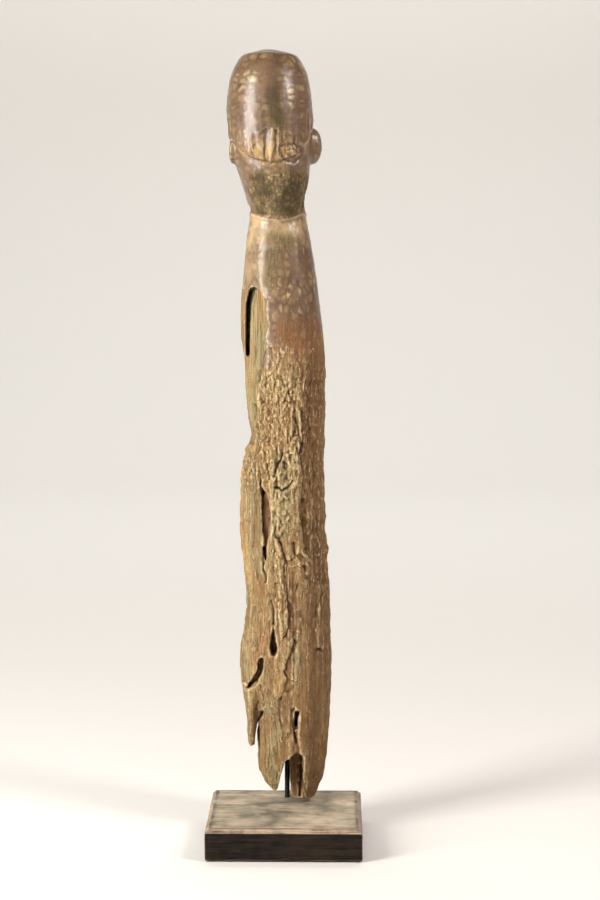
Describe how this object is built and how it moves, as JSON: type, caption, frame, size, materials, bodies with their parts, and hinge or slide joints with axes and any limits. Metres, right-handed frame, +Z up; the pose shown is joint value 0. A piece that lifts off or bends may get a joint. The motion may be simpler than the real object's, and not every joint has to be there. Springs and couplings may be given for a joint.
{
  "type": "carved ancestor figure",
  "caption": "Weathered standing wooden figure with a smooth capped head, held up by a steel rod on a chamfered wooden block.",
  "frame": {"origin": "centre of the stand's felted underside", "axes": "+Z up along the figure, +Y the way the figure faces, +X to the right of someone looking at its back"},
  "size_m": [0.15, 0.15, 0.7677],
  "materials": {
    "old_wood": "dark polished patina on the head and trunk, dry and eroded lower down",
    "blackened_wood": "dark stain, rubbed through along the edges",
    "black_steel": "matt black",
    "zinc_steel": "bright zinc",
    "brass": "drawn",
    "felt": "dark green wool felt"
  },
  "bodies": {
    "stand": {"base_block": "blackened_wood", "felt_sheet": "felt"},
    "rod": {"mount_rod": "black_steel", "flat_washer": "zinc_steel", "spring_washer": "zinc_steel", "hex_nut": "zinc_steel"},
    "figure": {"carved_figure": "old_wood", "pin_socket": "brass"}
  },
  "joints": [
    {"name": "rod_turn", "type": "hinge", "parent": "stand", "child": "rod", "pos_m": [0.001, 0.046, 0.0315], "axis": [0, 0, 1], "continuous": true},
    {"name": "figure_lift", "type": "slide", "parent": "rod", "child": "figure", "axis": [0, 0, 1], "range_m": [0, 0.2]}
  ]
}
